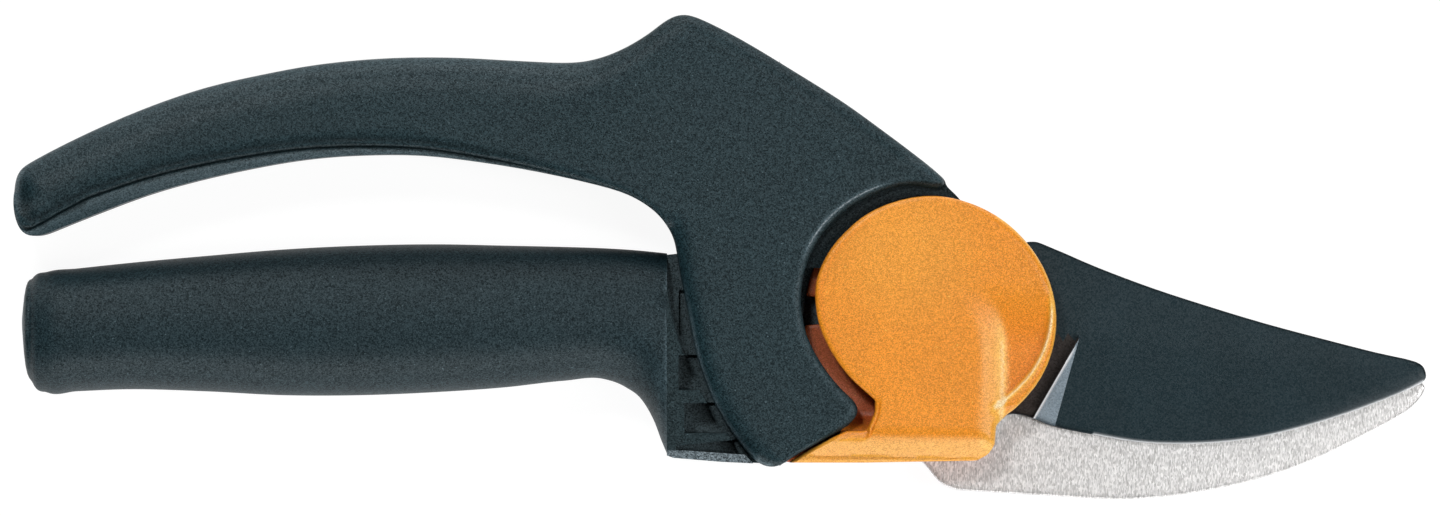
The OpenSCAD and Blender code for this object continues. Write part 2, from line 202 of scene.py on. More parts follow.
def triangulate(loops, rims, spacing, creases):
    """Plane triangles that fill the loops: rings of points at the rim distances from every edge, a wider
    grid within, and lines of edges along the creases."""
    creases = [np.asarray(line) for line in creases]
    points, edges = [], []
    for p in loops:
        first = len(points)
        points += [tuple(v) for v in p]
        edges += [(first + i, first + (i + 1) % len(p)) for i in range(len(p))]
    for line in creases:
        keep = inside(line, loops) & (distance(line, loops) > 0.12)
        for i, v in enumerate(line):
            if keep[i]:
                if i and keep[i - 1]:
                    edges.append((len(points) - 1, len(points)))
                points.append(tuple(v))
    fixed = np.array(points)
    for rim in rims:
        ring = []
        every = max(1, int(rim / 1.2))
        for p in loops:
            inward = normals(p) if inside(p[:1] + normals(p)[:1] * 0.01, loops)[0] else -normals(p)
            ring.append(p[::every] + inward[::every] * rim)
        ring = np.vstack(ring)
        ring = ring[inside(ring, loops)]
        ring = ring[distance(ring, loops) > 0.93 * rim]
        if creases:
            ring = ring[distance(ring, creases, closed=False) > 0.12]
        points += [tuple(v) for v in ring]
    low, high = fixed.min(0), fixed.max(0)
    grid = np.array([(x + (row % 2) * spacing / 2, y)
                     for row, y in enumerate(np.arange(low[1], high[1], spacing * 0.87))
                     for x in np.arange(low[0], high[0], spacing)])
    grid = grid[inside(grid, loops)]
    grid = grid[distance(grid, loops) > (rims[-1] if rims else 0) + 0.45 * spacing]
    if creases and len(grid):
        grid = grid[distance(grid, creases, closed=False) > 0.4 * spacing]
    points += [tuple(v) for v in grid]
    found = delaunay_2d_cdt([Vector(p) for p in points], edges, [], 0, 1e-6)
    flat = np.array([tuple(v) for v in found[0]])
    tris = np.array([f for f in found[2] if len(f) == 3])
    tris = tris[inside(flat[tris].mean(1), loops)]
    return flat, tris


def relief(loops, top, bottom, rims=(), spacing=2.0, creases=(), box=None, tint=None):
    """Points, faces and tints of a closed solid between two heights or height fields, top(x, y, d) and
    bottom(x, y, d), where d is the distance to the nearest edge. tint(x, y, d) makes places on the top
    paler and darker, mostly painted light and shade."""
    flat, tris = triangulate(loops, rims, spacing, creases)
    d = distance(flat, loops)
    d[d < 1e-3] = 0
    x, y = flat.T
    high = top(x, y, d) if callable(top) else np.full(len(flat), float(top))
    low = bottom(x, y, d) if callable(bottom) else np.full(len(flat), float(bottom))
    count = len(flat)
    points = np.vstack([np.column_stack([flat, high]), np.column_stack([flat, low])])
    if box is not None:
        points = np.clip(points, box[0], box[1])
    faces = [tuple(t) for t in tris] + [(t[2] + count, t[1] + count, t[0] + count) for t in tris]
    edges = dict.fromkeys((t[k], t[(k + 1) % 3]) for t in tris for k in range(3))
    for a, b in edges:
        if (b, a) not in edges:
            faces.append((b, a, a + count, b + count))
    shades = np.zeros(2 * count)
    if tint is not None:
        shades[:count] = tint(x, y, d)
    return points, faces, shades


def joined(parts):
    """Several closed solids as one mesh."""
    points, faces, shades, first = [], [], [], 0
    for p, f, t in parts:
        points.append(p)
        faces += [tuple(int(i) + first for i in face) for face in f]
        shades.append(t)
        first += len(p)
    return np.vstack(points), faces, np.concatenate(shades)


def rounding(d, width, height):
    """How far an elliptical edge of that width and height has dropped at distance d from the edge."""
    s = np.clip(1 - d / np.maximum(width, 1e-6), 0, 1)
    return height * (1 - np.sqrt(1 - s**2))


def ease(x, low, high):
    """0 below low, 1 above high, smooth between."""
    t = np.clip((x - low) / (high - low), 0, 1)
    return t * t * (3 - 2 * t)


def rims_for(width, count=7):
    """Ring distances that follow a quarter ellipse of that width evenly."""
    return [width * (1 - math.cos(math.pi / 2 * (k + 1) / count)) for k in range(count)]


def place(name, mesh, body, replaced, material, angle=38):
    """A skin that rides on a body and stands for CAD nodes."""
    obj = make_object(name, *mesh, angle=angle)
    obj.data.materials.append(material)
    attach(obj, body)
    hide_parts(*replaced)
    return obj


def stretch(start, end, count=40):
    """Points along a straight line."""
    return np.linspace(start, end, count)


def curve(points, step=0.4):
    """A smooth open line through a few points."""
    p = np.asarray(points, float)
    run = np.concatenate([[0], np.cumsum(np.linalg.norm(np.diff(p, axis=0), axis=1))])
    at = np.linspace(0, run[-1], int(run[-1] / step) + 2)
    return np.stack([spline(at, run, p[:, 0]), spline(at, run, p[:, 1])], 1)


def spline(at, knots, values):
    """A smooth line through the values at the knots (Catmull-Rom with uneven steps)."""
    slopes = np.gradient(values, knots)
    i = np.clip(np.searchsorted(knots, at) - 1, 0, len(knots) - 2)
    h = knots[i + 1] - knots[i]
    t = (at - knots[i]) / h
    return ((2 * t**3 - 3 * t**2 + 1) * values[i] + (t**3 - 2 * t**2 + t) * h * slopes[i]
            + (3 * t**2 - 2 * t**3) * values[i + 1] + (t**3 - t**2) * h * slopes[i + 1])


def offset(line, by):
    """An open line moved sideways, to the right of its direction."""
    t = np.gradient(line, axis=0)
    n = np.stack([t[:, 1], -t[:, 0]], 1) / np.linalg.norm(t, axis=1)[:, None]
    return line + n * np.reshape(by, (-1, 1))


def signed_distance(x, y, line):
    """Distance to an open line, positive to the right of its direction."""
    p = np.column_stack([x, y])
    a, ab = line[:-1], np.diff(line, axis=0)
    ap = p[:, None] - a[None]
    t = np.clip((ap * ab).sum(2) / (ab**2).sum(1), 0, 1)
    gap = ap - t[..., None] * ab
    size = np.sqrt((gap**2).sum(2))
    nearest = size.argmin(1)
    rows = np.arange(len(p))
    cross = ab[nearest, 0] * gap[rows, nearest, 1] - ab[nearest, 1] * gap[rows, nearest, 0]
    return -np.sign(cross) * size[rows, nearest]


def bell(x, centre, width):
    """A smooth bump of height 1."""
    return np.exp(-(((x - centre) / width) ** 2))


def beyond(x, y, a, b):
    """How far a point lies to the right of the line from a to b."""
    t = np.subtract(b, a) / np.hypot(*np.subtract(b, a))
    return (x - a[0]) * t[1] - (y - a[1]) * t[0]


# ---- materials ----


class Nodes:
    """Short calls for building one material's node tree."""

    def __init__(self, name):
        self.material = bpy.data.materials.new(name)
        self.material.use_nodes = True
        self.tree = self.material.node_tree
        self.shader = self.tree.nodes["Principled BSDF"]
        self.coords = self.tree.nodes.new("ShaderNodeTexCoord").outputs["Object"]

    def link(self, a, b):
        self.tree.links.new(a, b)

    def set(self, **values):
        """Plain values of the shader's sockets."""
        for key, value in values.items():
            self.shader.inputs[key.replace("_", " ")].default_value = value

    def feed(self, socket, value):
        """Another node's output into one of the shader's sockets."""
        self.link(value, self.shader.inputs[socket])

    def mapping(self, scale=(1, 1, 1), turn=(0, 0, 0)):
        node = self.tree.nodes.new("ShaderNodeMapping")
        node.inputs["Scale"].default_value = scale
        node.inputs["Rotation"].default_value = turn
        self.link(self.coords, node.inputs["Vector"])
        return node.outputs["Vector"]

    def noise(self, scale, detail=2.0, rough=0.5, vector=None):
        node = self.tree.nodes.new("ShaderNodeTexNoise")
        node.inputs["Scale"].default_value = scale
        node.inputs["Detail"].default_value = detail
        node.inputs["Roughness"].default_value = rough
        self.link(vector or self.coords, node.inputs["Vector"])
        return node.outputs["Fac"]

    def ramp(self, value, stops):
        """Colours or grey levels at positions along the value."""
        node = self.tree.nodes.new("ShaderNodeValToRGB")
        band = node.color_ramp
        while len(band.elements) < len(stops):
            band.elements.new(0.5)
        for element, (at, colour) in zip(band.elements, stops):
            element.position = at
            element.color = (*colour, 1) if isinstance(colour, tuple) else (colour, colour, colour, 1)
        self.link(value, node.inputs["Fac"])
        return node.outputs["Color"]

    def mix(self, factor, a, b, blend="MIX"):
        node = self.tree.nodes.new("ShaderNodeMix")
        node.data_type = "RGBA"
        node.blend_type = blend
        for value, socket in ((factor, node.inputs[0]), (a, node.inputs[6]), (b, node.inputs[7])):
            if isinstance(value, (float, int)):
                socket.default_value = value
            elif isinstance(value, tuple):
                socket.default_value = (*value, 1)
            else:
                self.link(value, socket)
        return node.outputs[2]

    def multiply(self, a, b):
        return self.mix(1.0, a, b, "MULTIPLY")

    def cells(self, scale, vector=None):
        """A random value for every small cell, and the distance to the cell's middle."""
        node = self.tree.nodes.new("ShaderNodeTexVoronoi")
        node.inputs["Scale"].default_value = scale
        self.link(vector or self.coords, node.inputs["Vector"])
        split = self.tree.nodes.new("ShaderNodeSeparateColor")
        self.link(node.outputs["Color"], split.inputs[0])
        return split.outputs[0], node.outputs["Distance"]

    def attribute(self, name):
        node = self.tree.nodes.new("ShaderNodeAttribute")
        node.attribute_name = name
        return node.outputs["Fac"]

    def negative(self, value):
        node = self.tree.nodes.new("ShaderNodeMath")
        node.operation = "MULTIPLY"
        node.inputs[1].default_value = -1
        self.link(value, node.inputs[0])
        return node.outputs[0]

    def along(self, axis, low, high):
        """0 below one coordinate and 1 above another, in the object's own millimetres."""
        split = self.tree.nodes.new("ShaderNodeSeparateXYZ")
        self.link(self.coords, split.inputs[0])
        node = self.tree.nodes.new("ShaderNodeMapRange")
        node.inputs["From Min"].default_value = low * MM
        node.inputs["From Max"].default_value = high * MM
        self.link(split.outputs[axis], node.inputs["Value"])
        return node.outputs["Result"]

    def bump(self, height, depth, strength=1.0, after=None):
        node = self.tree.nodes.new("ShaderNodeBump")
        node.inputs["Strength"].default_value = strength
        node.inputs["Distance"].default_value = depth
        self.link(height, node.inputs["Height"])
        if after is not None:
            self.link(after, node.inputs["Normal"])
        return node.outputs["Normal"]


def moulded_plastic(name, colour, speck, bright, roughness, specular=0.35, contrast=0.6, cells=5800,
                    deep=None, deep_top=15.5, dim=(0.87, 0.87, 0.87), sheen_below=None):
    """Spark-eroded plastic: random fine cells, very faint clouds and scattered pale specks. The tint
    attribute paints highlights, paler up to bright, and shade, darker first by dim. deep is a colour painted
    low down in gaps and pockets, which fades out at the height deep_top. Tops below the y given last are
    painted pale: a painted highlight."""
    n = Nodes(name)
    random, pits = n.cells(cells)
    clouds = n.noise(90, 3, 0.5)
    ground = n.mix(n.along("Z", 14.1, deep_top), deep, colour) if deep else colour
    # A painted highlight: a pale strip on the tops near the lower edge, where a chamfer would catch the
    # front light.
    if sheen_below:
        strip = n.multiply(n.along("Z", 18.5, 19.5), n.along("Y", sheen_below, sheen_below - 0.3))
        painted_sheen = n.multiply(strip, n.ramp(random, [(0.0, 0.5), (1.0, 1.0)]))
        ground = n.mix(painted_sheen, ground, bright)
    tone = n.multiply(ground, n.ramp(random, [(0.0, 1 - contrast), (1.0, 1 + contrast)]))
    tone = n.multiply(tone, n.ramp(clouds, [(0.3, 0.94), (0.7, 1.06)]))
    specks = n.ramp(n.noise(3100, 1, 0.4), [(0.72, 0.0), (0.8, 1.0)])
    tone = n.mix(specks, tone, speck)
    # Painted light and shade from the tint attribute: paler towards speck and bright above 0, darker by dim
    # below 0, in colour and gloss.
    tint = n.attribute("tint")
    pale = n.multiply(n.ramp(tint, [(0.0, 0.0), (0.5, 1.0)]), n.ramp(random, [(0.1, 0.35), (0.9, 1.0)]))
    tone = n.mix(pale, tone, n.ramp(tint, [(0.5, speck), (1.0, bright)]))
    dark = n.ramp(n.negative(tint), [(0.0, 1.0), (0.15, dim), (1.0, 0.12)])
    n.feed("Base Color", n.multiply(tone, dark))
    n.feed("Roughness", n.ramp(pits, [(0.0, roughness + 0.05), (0.6, roughness - 0.05)]))
    gloss = n.ramp(random, [(0.0, specular * (1 - contrast)), (1.0, specular * (1 + contrast))])
    n.feed("Specular IOR Level", n.multiply(gloss, dark))
    n.feed("Normal", n.bump(pits, 0.00003, 0.5))
    return n.material


def ground_steel(name, dark, light, turn, roughness=0.38, metal=0.5):
    """Bare steel with the short bright streaks that a grinding wheel leaves, at an angle to the blade."""
    n = Nodes(name)
    streaks = n.noise(1.0, 3, 0.6, n.mapping((7000, 900, 300), (0, 0, turn)))
    random, pits = n.cells(1.0, n.mapping((6200, 2400, 2400), (0, 0, turn)))
    grain = n.ramp(random, [(0.1, dark), (0.9, light)])
    n.feed("Base Color", n.mix(0.5, n.ramp(streaks, [(0.3, dark), (0.7, light)]), grain))
    n.feed("Roughness", n.ramp(streaks, [(0.2, roughness - 0.08), (0.8, roughness + 0.1)]))
    n.set(Metallic=metal)
    n.feed("Normal", n.bump(streaks, 0.00002, 0.6, n.bump(pits, 0.00001, 0.5)))
    return n.material


def coated_steel(name, dark, light, bright, roughness=0.42):
    """Dark low-friction coating: faint orange peel over cloudy slate. The tint paints it paler, for the bare
    cutting edge and painted highlights, and darker, for painted shade.
    """
    n = Nodes(name)
    cloud = n.noise(120, 4, 0.6)
    random, pits = n.cells(5000)
    grain = n.ramp(random, [(0.1, dark), (0.9, light)])
    tone = n.mix(0.6, n.ramp(cloud, [(0.35, dark), (0.65, light)]), grain)
    tint = n.attribute("tint")
    tone = n.mix(n.ramp(tint, [(0.0, 0.0), (1.0, 1.0)]), tone, bright)
    black = n.ramp(n.negative(tint), [(0.0, 1.0), (1.0, 0.1)])
    n.feed("Base Color", n.multiply(tone, black))
    n.feed("Roughness", n.ramp(random, [(0.1, roughness - 0.05), (0.9, roughness + 0.06)]))
    gloss = n.ramp(random, [(0.0, 0.12), (1.0, 0.32)])
    n.feed("Specular IOR Level", n.multiply(gloss, black))
    n.feed("Normal", n.bump(pits, 0.00002, 0.35))
    return n.material


def plain_metal(name, dark, light, roughness, scale=700):
    """Plated or sintered small parts."""
    n = Nodes(name)
    cloud = n.noise(scale, 4, 0.6)
    n.feed("Base Color", n.ramp(cloud, [(0.35, dark), (0.65, light)]))
    n.feed("Roughness", n.ramp(cloud, [(0.3, roughness - 0.07), (0.7, roughness + 0.09)]))
    n.set(Metallic=1.0)
    n.feed("Normal", n.bump(n.noise(2500, 2), 0.00001, 0.4))
    return n.material


# pale_slate is the colour of the specks and of mild painted highlights; slate_line is the colour of the
# strongest painted highlights.
pale_slate = (0.07, 0.115, 0.135)
slate_line = (0.42, 0.47, 0.5)
handle_black = moulded_plastic("fine_handle_plastic", (0.0045, 0.0205, 0.0265), pale_slate, slate_line,
                               roughness=0.52, specular=0.32)
grip_black = moulded_plastic("soft_grip_rubber", (0.005, 0.0195, 0.0255), pale_slate, slate_line,
                             roughness=0.6, specular=0.31)
# On the frame, deep paints the low surfaces paler, and the pale strip on the tops below y = -20.3 is a
# painted highlight along the lower front flange.
frame_black = moulded_plastic("dark_frame_plastic", (0.0045, 0.017, 0.021), pale_slate, (0.14, 0.175, 0.195),
                              roughness=0.5, specular=0.27, deep=(0.042, 0.07, 0.08), sheen_below=-20.3)
# On the orange, deep and dim are painted shade: redder and darker low down on the flange and in the gaps,
# and in the tinted hollows; bright is the colour of the painted highlights.
orange = moulded_plastic("satin_orange_plastic", (0.74, 0.252, 0.0135), (0.94, 0.54, 0.09),
                         (1.0, 0.92, 0.58), roughness=0.38, specular=0.45, contrast=0.3, cells=7600,
                         deep=(0.52, 0.11, 0.028), deep_top=19.0, dim=(0.99, 0.87, 0.95))
rubber = moulded_plastic("matte_buffer_rubber", (0.01, 0.01, 0.01), (0.03, 0.03, 0.03), (0.1, 0.1, 0.1),
                         roughness=0.7)
steel = ground_steel("cross_ground_steel", (0.36, 0.352, 0.345), (0.98, 0.965, 0.955), math.radians(-20))
coat = coated_steel("slate_coated_steel", (0.0065, 0.0175, 0.0225), (0.0105, 0.0265, 0.034),
                    (0.7, 0.72, 0.74))
facet = coated_steel("ground_facet_steel", (0.13, 0.175, 0.21), (0.24, 0.30, 0.345), (0.8, 0.82, 0.84),
                     roughness=0.36)
# The blade's root, left of the facet beside the disc, is drawn a dark brown.
root_coat = coated_steel("brownish_root_steel", (0.018, 0.0155, 0.0145), (0.032, 0.0275, 0.0255),
                         (0.4, 0.4, 0.4))
zinc = plain_metal("plated_zinc_steel", (0.45, 0.46, 0.47), (0.6, 0.6, 0.6), 0.32)
sintered = plain_metal("sintered_gear_steel", (0.2, 0.2, 0.21), (0.32, 0.32, 0.33), 0.42)
bronze = plain_metal("sintered_bronze", (0.42, 0.25, 0.09), (0.58, 0.38, 0.16), 0.4)


# ---- upper handle ----

head_x = -52.0  # where the arm ends and the head's front wall begins
arm_to_head = (-64, -46)  # where the face and the underside change level
arm_bottom, arm_top = 2.0, 19.0
head_bottom, head_top = 0.3, 19.8
wall_bottom = 14.0  # underside of the head's front wall
block_bottom = 7.9  # underside of the blocks between the head's walls
lip_at = (-139.8, -137.3, -134.4, -129.5, -123.0, -116.0, -51.0)
lip_wide = (0.2, 1.5, 2.0, 2.6, 2.4, 2.2, 0.0)
# Upper edge of the orange band under the handle's nose.
band_edge = np.array([(-22.6, -22.3), (-20.9, -21.2), (-16.0, -18.5), (-13.9, -17.5), (-10.6, -17.4)])


def finger_side(p):
    """Whether a point of the outline is on the arm's finger side, below a line along the arm's middle."""
    x, y = p.T
    return (x < -41) & (y < 26) & (y < 19 + 0.17 * (x + 141))


handle_loop = outline("upper_handle", 15.0, 0.55, 0.6)[0]
on_fingers = finger_side(handle_loop)
start = np.flatnonzero(on_fingers & ~np.roll(on_fingers, 1))[0]
handle_loop = np.roll(handle_loop, -start, 0)
on_fingers = np.roll(on_fingers, -start)
finger_edge = handle_loop[on_fingers]
palm_edge = handle_loop[~on_fingers]


def lip_width(x):
    """How wide the bevelled lip on the arm's finger side is."""
    return np.interp(x, lip_at, lip_wide)


def near_hub(x, y):
    """1 beside the hub's round gap, 0 elsewhere."""
    return 1 - ease(np.hypot(x, y), 22.5, 25)


def handle_drop(x, y):
    """How far the handle's face lies below its flat level at each point."""
    fingers = gap_to(x, y, finger_edge)
    arm = 1 - ease(x, -62, -42)
    close = np.maximum(near_hub(x, y), 1 - ease(gap_to(x, y, band_edge), 1.0, 4.0))
    tip = near_hub(x, y) * ease(x, -9, -1)
    width = 5.6 * arm + (1 - arm) * (3.0 * (1 - close) + 0.9 * close) + 0.4 * tip
    height = 3.3 * arm + (1 - arm) * (1.9 * (1 - close) + 0.7 * close) + 0.9 * tip
    drop = rounding(gap_to(x, y, palm_edge), width, height)
    lip = lip_width(x)
    shoulder = rounding(fingers - lip, 1.6 * (0.5 + 0.5 * arm), 0.7)
    slope = np.clip(lip - fingers, 0, None) * 0.9
    groove = 0.2 * bell(fingers, lip, 0.2) * ease(lip, 0.1, 0.6)
    valley = 0.22 * bell(fingers, lip + 1.3, 0.5) * arm * ease(lip, 0.3, 1.2)
    return np.maximum(drop, shoulder + slope + groove + valley)


def handle_painted_light(x, y, d):
    """Painted shade in the groove and the valley above it; painted highlights along the hub's arc, on the
    arm's lip, back and end, and on the head's left edge."""
    fingers = gap_to(x, y, finger_edge)
    palm = gap_to(x, y, palm_edge)
    lip = lip_width(x)
    on_lip = 0.33 * (fingers < lip - 0.3)
    arc_line = 0.75 * bell(d, 0.85, 0.2) * ease(y, 8, 12) * (1 - ease(x, -10, -6))
    arc = near_hub(x, y) * (0.12 * (d < 1.4) + arc_line)
    end = 0.35 * bell(d, 0.3, 0.35) * (1 - ease(x, -139.8, -138.2))
    back = 0.06 * (1 - ease(palm, 2.0, 6.0)) + 0.1 * (1 - ease(palm, 0.3, 2.0))
    head_edge = 0.6 * bell(d, 0.3, 0.3) * (x < -25) * ease(-y, -8, 2)
    lines = bell(fingers, lip + 0.05, 0.22) + 0.5 * bell(fingers, lip + 1.2, 0.42) * (x < -60)
    return arc + end + back * (1 - ease(x, -60, -46)) + head_edge + on_lip - lines * ease(lip, 0.1, 0.6)


def handle_top(x, y, d):
    """The handle's face; the head stands a little higher than the arm."""
    return arm_top + (head_top - arm_top) * ease(x, *arm_to_head) - handle_drop(x, y)


def handle_bottom(x, y, d):
    """The arm's rounded underside, and the flat underside of the head's front wall."""
    under = arm_bottom + (head_bottom - arm_bottom) * ease(x, *arm_to_head) + handle_drop(x, y)
    return np.where(x > head_x + 0.02, wall_bottom, under)


def lip_lines():
    """Lines that follow the groove above the arm's finger-side lip."""
    inward = normals(handle_loop)[on_fingers]
    lip = lip_width(finger_edge[:, 0])
    keep = (lip > 0.25) & (finger_edge[:, 0] > -139.3)
    shifts = (-0.28, -0.14, 0.0, 0.14, 0.28, 0.7, 1.1, 1.5, 2.0)
    return [(finger_edge + inward * (lip + shift)[:, None])[keep] for shift in shifts]


def head_cut(x):
    """A line across the handle where the arm meets the head's front wall."""
    return stretch((x, 20.5), (x, 39))


handle_box = node_box("upper_handle")
face = relief([handle_loop], handle_top, handle_bottom, spacing=1.8,
              rims=[0.1, 0.3, 0.55, 0.8, 1.1, 1.5, 2.2, 3.1, 4.2, 5.4],
              creases=lip_lines() + [head_cut(head_x), head_cut(head_x + 0.04)],
              box=handle_box, tint=handle_painted_light)
block_loop = right_part(outline("upper_handle", 11.0, 0.55, 0.6)[0], head_x, 0.55)
block = relief([block_loop], wall_bottom, block_bottom, spacing=4.0, box=handle_box)
# The web is painted darker all over: painted shade, where it lies deep in the gap between the head and the
# disc.
web_loop = right_part(outline("upper_handle", 17.5, 0.45, 0.3)[0], -24, 0.45)
web = relief([web_loop], 17.6, 16.5, spacing=1.5, box=handle_box,
             tint=lambda x, y, d: np.full(len(x), -0.5))
place("upper_handle_skin", joined([face, block, web]), "handle", ["upper_handle"],
      handle_black)

# ---- front cover ----

face_z = 21.35  # face of the disc
plate_z = 19.0  # underside of the disc
column_y = -12.6  # below this line the cover reaches down to skirt_z
skirt_z = 14.15
flange_bottom, flange_top = 11.2, 13.8
crescent_depth = 1.25
foot_width = 4.7
cover_box = node_box("front_cover")
cover_loop = outline("front_cover", 20.2, 0.4, 0.3)[0]
foot_line = cover_loop[(cover_loop[:, 1] < -21.2) & (cover_loop[:, 0] < 7.0)]
column_edge = curve([(-9.2, -12.2), (-9.5, -13.5), (-9.6, -14.6), (-10.2, -16.2), (-10.8, -17.7)])
fold_line = curve([(8.9, -19.0), (9.2, -13.0), (9.3, -6.5), (9.0, -2.4), (7.8, 1.0), (5.4, 4.0),
                   (2.0, 6.5)])
rim_part = (np.hypot(*cover_loop.T) < 18.7) & (cover_loop[:, 0] > 9.5)
rim_part &= (cover_loop[:, 1] > -14.8) & (cover_loop[:, 1] < 6)


def rim_width(y):
    """The raised rim beside the crescent grows wider towards the bottom."""
    return np.clip(0.8 - 0.105 * y, 0.35, 3)


def rim_line(shift):
    """The crescent's outer edge."""
    line = (cover_loop + normals(cover_loop) * (rim_width(cover_loop[:, 1]) + shift)[:, None])[rim_part]
    return line[np.argsort(line[:, 1])]


def soft_ramp(t, start=0.35):
    """0 to 1 with a soft start."""
    t = np.clip(t, 0, 1)
    return np.where(t < start, t * t / (2 * start), t - start / 2) / (1 - start / 2)


def crescent(x, y, d):
    """How far the crescent is sunk: a soft slope on its left, a crisp rim on its right."""
    inward = signed_distance(x, y, fold_line)
    slope = soft_ramp((inward + 3.0) / 4.3)
    inner = np.maximum(ease(d - rim_width(y), -0.05, 0.45), ease(-y, 13.4, 15.5))
    return crescent_depth * slope * inner * (1 - ease(y, -4.5, 5.5)) * (1 - 0.3 * ease(-y, 14.2, 18))


def cover_top(x, y, d):
    """The cover's face: crescent, sloping foot, ledge by the band, seam by the nose, rounded edge."""
    foot = soft_ramp((foot_width - gap_to(x, y, foot_line)) / foot_width, 0.45)
    wide = 0.4 + 0.8 * ease(x, -16, -13.5)
    ledge = 1.1 * np.clip(1 - gap_to(x, y, band_edge) / wide, 0, 1) * (x < -10.4)
    beside = gap_to(x, y, column_edge)
    seam = (0.22 * (1 - ease(beside, 0.5, 0.8)) + 0.2 * bell(beside, 0.68, 0.13)) * ease(-y, 12.4, 13.6)
    right_side = ease(x, 4, 9)
    edge = rounding(d, 0.6 + 0.5 * right_side, 0.6 + 0.3 * right_side)
    return face_z - np.maximum(crescent(x, y, d) + edge + seam, 2.35 * foot + ledge + edge * 0.4)


def cover_painted_light(x, y, d):
    """Painted highlights where the fold, the rim, the foot and the disc's right edge catch the light, and a
    faint painted light patch at the disc's upper left; painted shade in the crescent, along the seam beside
    the nose and on a thin line inside the disc's left edge."""
    inward = signed_distance(x, y, fold_line)
    low = 1 - ease(y, -5.5, 2.0)
    from_rim = d - rim_width(y)
    fold = (0.2 * ease(inward, -3.2, -1.5) + 0.25 * ease(inward, -0.9, 0.2)) * (1 - ease(inward, 1.0, 1.4))
    fold += 0.3 * bell(inward, 0.7, 0.35)
    hollow = 0.14 * ease(inward, 1.2, 2.2) * ease(from_rim, 0.1, 0.5) * (1 - ease(y, -4.5, 5.0)) * (x > 5)
    rim = bell(from_rim, -0.05, 0.33) * (1 - ease(y, -1.0, 6.0)) * ease(y, -15, -13.5) * (x > 8)
    edge = 0.4 * bell(d, 0.1, 0.2) * (x > 9) * (y > -15)
    foot = 0.3 * ease(3.6 - gap_to(x, y, foot_line), 0, 1.4)
    seam = 0.2 * bell(gap_to(x, y, column_edge), 0.68, 0.12) * ease(-y, 12.8, 14.5)
    left = 0.1 * bell(d, 0.9, 0.2) * (x < -10) * (y > -6)
    glow = 0.12 * (1 - ease(np.hypot(x + 5, y - 10), 3, 16))
    return fold * low + 0.95 * rim + edge + foot + glow * (1 - rim) - hollow - seam - left


def cover_bottom(x, y, d):
    """The disc's flat underside, lower along the foot."""
    return np.where(y < column_y - 0.02, skirt_z, plate_z)


def skirt_top(x, y, d):
    """Inside the disc, so that skirt and disc make one solid to the eye."""
    return np.minimum(plate_z + 0.4, cover_top(x, y, np.full(len(x), 9.0)) - 0.4)


def flange_face(x, y, d):
    """The flange between cover and frame, with the ledge that rises beside the nose."""
    ledge = 3.4 * ease(-y, 15.2, 17.4) * (x > -15)
    return flange_top + ledge - rounding(d, 0.3, 0.25)


plate_creases = [stretch((-12, y), (12, y)) for y in (column_y, column_y - 0.04)]
plate_creases += [rim_line(shift) for shift in (-0.17, 0.0, 0.17, 0.35, 0.55)]
plate_creases += [offset(column_edge, by) for by in (-0.45, -0.6, -0.7, -0.85)]
plate = relief([cover_loop], cover_top, cover_bottom, rims=[0.1, 0.25, 0.45, 0.7, 1.0, 1.4, 2.0, 2.8],
               spacing=0.7, creases=plate_creases, box=cover_box, tint=cover_painted_light)
skirt = relief(outline("front_cover", 16.0, 0.4, 0.2), skirt_top, skirt_z, spacing=1.2, box=cover_box)
flange = relief(outline("front_cover", 12.5, 0.4, 0.1), flange_face, flange_bottom, rims=rims_for(0.35, 3),
                spacing=0.7, box=cover_box)
place("front_cover_skin", joined([plate, skirt, flange]), "frame", ["front_cover"],
      orange, angle=45)

# ---- hook and cutting blade ----

hook_box = node_box("hook_blade")


def hook_top(x, y, d):
    return hook_box[1][2] - rounding(d, 0.3, 0.3)


def hook_bottom(x, y, d):
    return hook_box[0][2] + rounding(d, 0.25, 0.25)


hook = relief(outline("hook_blade", 9.5, 0.5, 0.25), hook_top, hook_bottom, rims=[0.08, 0.16, 0.3, 1.0],
              spacing=3.0, box=hook_box)
place("hook_skin", hook, "frame", ["hook_blade"], steel)

blade_box = node_box("cutting_blade")
blade_loops = [p for p in outline("cutting_blade", 12.5, 0.4, 0.25) if abs(area(p)) > 2]
wedge_top = (21.8, -3.4)  # the facet's corners
wedge_left = (14.7, -15.7)
wedge_right = (18.0, -17.2)
ridge_fall = 0.09  # how the ground plane's upper end runs down towards the tip
plane_fall = 0.085  # the ground plane's slope
cutting_edge = curve([(12.0, -14.9), (14.8, -15.6), (17.7, -16.8), (24, -18.1), (31.3, -19.3),
                      (40, -19.5), (48.4, -18.7), (57, -16.7), (65.6, -13.9), (72, -11.3), (74.5, -10)])


def blade_plane(x, y):
    """How far the ground plane lies below the blade's flat root."""
    below = wedge_top[1] - ridge_fall * (x - wedge_top[0]) - y
    return plane_fall * (below + np.sqrt(below**2 + 1.5)) / 2


def blade_top(x, y, d):
    """The root stays flat, the facet leads down from it, and the ground plane slopes to the edge."""
    left = beyond(x, y, wedge_top, wedge_left)
    right = beyond(x, y, wedge_top, wedge_right)
    across = np.clip(-left / np.maximum(-left + right, 1e-6), 0, 1)
    across = np.where(left > 0, 0, np.where(right < 0, 1, across))
    bevel = 0.35 * np.clip(1 - d / 1.3, 0, 1) * ease(x, 50, 70) * (y < -5 - 0.1 * (x - 50))
    return blade_box[1][2] - blade_plane(x, y) * across - rounding(d, 0.3, 0.3) - bevel


